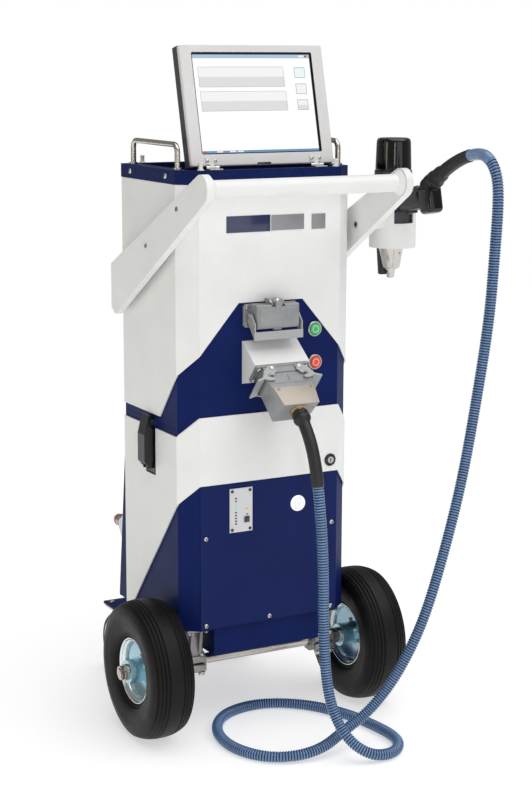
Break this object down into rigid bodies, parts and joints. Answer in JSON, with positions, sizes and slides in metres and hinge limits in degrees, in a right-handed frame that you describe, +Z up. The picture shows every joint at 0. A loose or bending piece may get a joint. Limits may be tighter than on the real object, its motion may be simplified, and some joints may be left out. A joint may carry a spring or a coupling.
{
  "type": "mobile metal analyzer",
  "caption": "Trolley-mounted metal analyzer: cabinet on wheels with a fold-back touchscreen, a pistol probe in a side holster and a corrugated hose to a lever-locked plug.",
  "frame": {"origin": "floor level, centre of the footprint measured without the hose and its two sleeves", "axes": "+Z up; -Y is the front with the controls, the sockets and the push bar; +X is the side of the probe holster; the wheel axle runs along X and the casters are at +Y"},
  "size_m": [0.61, 0.7543, 1.2673],
  "materials": {
    "navy_paint": "fine textured powder coat",
    "navy_panel": "satin paint",
    "navy_coarse": "coarse textured powder coat",
    "white_alloy": "white powder coat on aluminium",
    "white_coat": "orange-peel powder coat",
    "cast_chamber": "as cast",
    "unit_case": "potted electronics block",
    "battery_case": "matte",
    "stainless": "bright turned bar",
    "cast_bracket": "tumbled",
    "zinc": "bright zinc plate",
    "zinc_rim": "bright zinc plate with a bluish tint",
    "black_hinge": "satin black",
    "grey_casting": "grey powder coat on a casting",
    "lever_grey": "light grey",
    "black_rubber": "matte",
    "blue_hose": "ribbed, slightly glossy",
    "ring_metal": "bright nickel",
    "plate_white": "printed foil, left blank",
    "black_plastic": "moulded",
    "coupling_metal": "nickel-plated brass",
    "monitor_back": "moulded",
    "monitor_grey": "light grey moulding",
    "screen_glass": "touch panel over a backlit display",
    "probe_grey": "fine texture",
    "gloss_black": "glossy",
    "nozzle_steel": "machined",
    "trigger_plastic": "moulded",
    "button_green": "translucent, lit",
    "button_red": "translucent, lit",
    "button_white": "translucent, lit",
    "tyre_rubber": "ribbed rubber",
    "caster_rubber": "solid rubber on a plastic centre"
  },
  "bodies": {
    "trolley": {"lower_chassis": "navy_paint", "upper_chassis": "navy_paint", "upper_cover": "white_coat", "lower_cover": "white_coat", "access_panel": "navy_panel", "rear_cover": "navy_paint", "top_tray": "navy_coarse", "base_frame": "navy_paint", "optic_chamber": "cast_chamber", "computer_unit": "unit_case", "spark_source": "unit_case", "battery_pack": "battery_case", "axle": "stainless", "axle_clamps": "cast_bracket", "caster_plates": "zinc", "handle_arms": "white_alloy", "push_bar": "white_alloy", "fixings": "zinc", "lift_handles": "stainless", "hinge_leaves": "black_hinge", "holster_tube": "white_coat", "holster_cup": "white_coat", "spare_socket": "grey_casting", "wedge_box": "white_coat", "probe_socket": "grey_casting", "plug_hood": "grey_casting", "plug_boot": "black_rubber", "hose": "blue_hose", "control_rings": "ring_metal", "charge_plate": "plate_white", "latch_bases": "black_plastic", "gas_coupling": "coupling_metal"},
    "monitor": {"monitor_housing": "monitor_back", "monitor_bezel": "monitor_grey", "touchscreen": "screen_glass"},
    "probe": {"probe_housing": "probe_grey", "motor_cap": "gloss_black", "probe_grip": "gloss_black", "spark_nozzle": "nozzle_steel", "probe_sleeve": "black_rubber"},
    "trigger_body": {"trigger": "trigger_plastic"},
    "flap": {"socket_flap": "grey_casting"},
    "flap_catch": {"flap_lever": "lever_grey"},
    "key": {"key_barrel": "ring_metal"},
    "start": {"start_button": "button_green"},
    "stop": {"stop_button": "button_red"},
    "power": {"power_button": "button_white"},
    "charge_check": {"charge_button": "black_plastic"},
    "wheel_left": {"tyre_left": "tyre_rubber", "rim_left": "zinc_rim"},
    "swivel_left": {"caster_fork_left": "zinc"},
    "roller_left": {"caster_wheel_left": "caster_rubber"},
    "plug_catch_left": {"plug_lever_left": "lever_grey"},
    "latch_left": {"latch_lever_left": "black_plastic"},
    "wheel_right": {"tyre_right": "tyre_rubber", "rim_right": "zinc_rim"},
    "swivel_right": {"caster_fork_right": "zinc"},
    "roller_right": {"caster_wheel_right": "caster_rubber"},
    "plug_catch_right": {"plug_lever_right": "lever_grey"},
    "latch_right": {"latch_lever_right": "black_plastic"}
  },
  "joints": [
    {"name": "monitor_fold", "type": "hinge", "parent": "trolley", "child": "monitor", "pos_m": [-0.021, -0.1303, 1.05355], "axis": [-1, 0, 0], "range_deg": [-10, 75]},
    {"name": "probe_lift", "type": "slide", "parent": "trolley", "child": "probe", "axis": [0, 0, 1], "range_m": [0, 0.16], "deforming": ["hose"]},
    {"name": "trigger_pull", "type": "slide", "parent": "probe", "child": "trigger_body", "axis": [0, 0.225, 0.9744], "range_m": [0, 0.005], "stiffness_N_per_m": 600, "springref_m": -0.001},
    {"name": "flap_open", "type": "hinge", "parent": "trolley", "child": "flap", "pos_m": [-0.023, -0.17655, 0.8135], "axis": [-1, 0, 0], "range_deg": [0, 110]},
    {"name": "flap_catch_swing", "type": "hinge", "parent": "trolley", "child": "flap_catch", "pos_m": [-0.023, -0.16555, 0.785], "axis": [1, 0, 0], "range_deg": [0, 25]},
    {"name": "plug_catch_left_swing", "type": "hinge", "parent": "trolley", "child": "plug_catch_left", "pos_m": [-0.051, -0.19424, 0.68004], "axis": [0, 0.6601, -0.7512], "range_deg": [0, 35]},
    {"name": "plug_catch_right_swing", "type": "hinge", "parent": "trolley", "child": "plug_catch_right", "pos_m": [0.005, -0.19424, 0.68004], "axis": [0, -0.6601, 0.7512], "range_deg": [0, 35]},
    {"name": "key_turn", "type": "hinge", "parent": "trolley", "child": "key", "pos_m": [0.107, -0.15255, 0.501], "axis": [0, 1, 0], "range_deg": [0, 90]},
    {"name": "start_press", "type": "slide", "parent": "trolley", "child": "start", "axis": [0, 1, 0], "range_m": [0, 0.0025], "stiffness_N_per_m": 300},
    {"name": "stop_press", "type": "slide", "parent": "trolley", "child": "stop", "axis": [0, 1, 0], "range_m": [0, 0.0025], "stiffness_N_per_m": 300},
    {"name": "power_press", "type": "slide", "parent": "trolley", "child": "power", "axis": [0, 1, 0], "range_m": [0, 0.0025], "stiffness_N_per_m": 300},
    {"name": "charge_check_press", "type": "slide", "parent": "trolley", "child": "charge_check", "axis": [0, 1, 0], "range_m": [0, 0.0005], "stiffness_N_per_m": 300},
    {"name": "latch_left_swing", "type": "hinge", "parent": "trolley", "child": "latch_left", "pos_m": [-0.2053, -0.01025, 0.498], "axis": [0, -1, 0], "range_deg": [0, 100]},
    {"name": "wheel_left_spin", "type": "hinge", "parent": "trolley", "child": "wheel_left", "pos_m": [-0.2477, -0.09625, 0.13], "axis": [1, 0, 0], "continuous": true},
    {"name": "swivel_left_turn", "type": "hinge", "parent": "trolley", "child": "swivel_left", "pos_m": [-0.153, 0.20375, 0.1384], "axis": [0, 0, 1], "continuous": true},
    {"name": "roller_left_spin", "type": "hinge", "parent": "swivel_left", "child": "roller_left", "pos_m": [-0.153, 0.24175, 0.0625], "axis": [1, 0, 0], "continuous": true},
    {"name": "latch_right_swing", "type": "hinge", "parent": "trolley", "child": "latch_right", "pos_m": [0.1633, -0.01025, 0.498], "axis": [0, 1, 0], "range_deg": [0, 100]},
    {"name": "wheel_right_spin", "type": "hinge", "parent": "trolley", "child": "wheel_right", "pos_m": [0.2057, -0.09625, 0.13], "axis": [1, 0, 0], "continuous": true},
    {"name": "swivel_right_turn", "type": "hinge", "parent": "trolley", "child": "swivel_right", "pos_m": [0.111, 0.20375, 0.1384], "axis": [0, 0, 1], "continuous": true},
    {"name": "roller_right_spin", "type": "hinge", "parent": "swivel_right", "child": "roller_right", "pos_m": [0.111, 0.24175, 0.0625], "axis": [1, 0, 0], "continuous": true}
  ]
}
